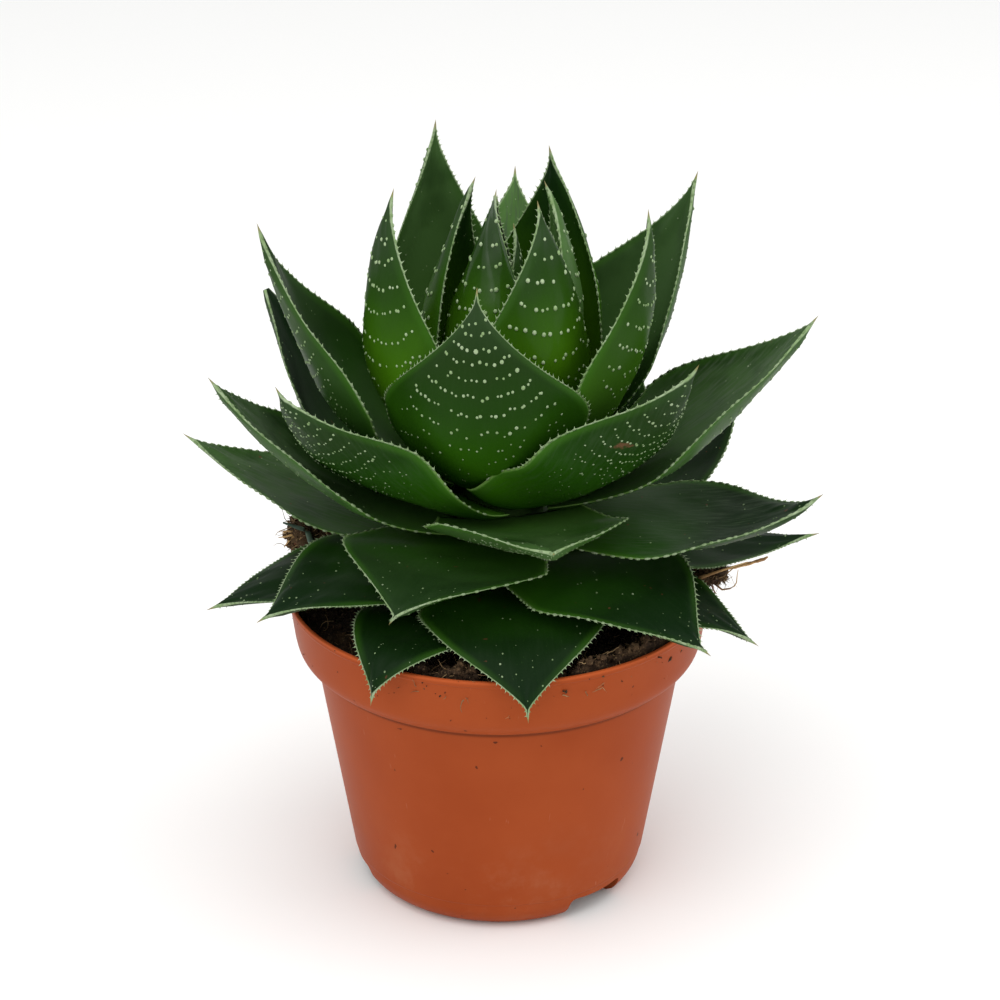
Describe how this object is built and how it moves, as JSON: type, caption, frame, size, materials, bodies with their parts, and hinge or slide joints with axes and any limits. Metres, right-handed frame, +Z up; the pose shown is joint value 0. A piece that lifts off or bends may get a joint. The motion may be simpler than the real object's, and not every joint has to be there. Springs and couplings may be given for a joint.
{
  "type": "potted aloe",
  "caption": "Small succulent plant with a rosette of thick pointed leaves, toothed at the margins and dotted with tubercles, growing in peat in a round plastic nursery pot.",
  "frame": {"origin": "centre of the underside of the pot's foot, where it rests on a surface", "axes": "+Z up along the pot's axis; -Y towards the side of the plant seen in the picture; +X to the right"},
  "size_m": [0.1596, 0.13, 0.19],
  "materials": {
    "pot_plastic": "terracotta coloured moulded plastic, satin, slightly dusty",
    "peat": "dry crumbly brown peat with root fibres, fully rough",
    "stem": "pale green succulent stem, satin",
    "dried_leaf": "withered straw brown leaf, thin and dull",
    "leaf": "smooth waxy dark green succulent leaf with whitish margins and tubercles, satin"
  },
  "bodies": {
    "root": {"pot": "pot_plastic", "soil": "peat", "stem": "stem", "dried_leaf": "dried_leaf", "leaf_01": "leaf", "leaf_02": "leaf", "leaf_03": "leaf", "leaf_04": "leaf", "leaf_05": "leaf", "leaf_06": "leaf", "leaf_07": "leaf", "leaf_08": "leaf", "leaf_09": "leaf", "leaf_10": "leaf", "leaf_11": "leaf", "leaf_12": "leaf", "leaf_13": "leaf", "leaf_14": "leaf", "leaf_15": "leaf", "leaf_16": "leaf", "leaf_17": "leaf", "leaf_18": "leaf", "leaf_19": "leaf", "leaf_20": "leaf", "leaf_21": "leaf", "leaf_22": "leaf", "leaf_23": "leaf", "leaf_24": "leaf", "leaf_25": "leaf", "leaf_26": "leaf", "leaf_27": "leaf", "leaf_28": "leaf", "leaf_29": "leaf", "leaf_30": "leaf", "leaf_31": "leaf", "leaf_32": "leaf", "leaf_33": "leaf", "leaf_34": "leaf", "leaf_35": "leaf", "leaf_36": "leaf", "leaf_37": "leaf", "leaf_38": "leaf", "leaf_39": "leaf"}
  },
  "joints": []
}
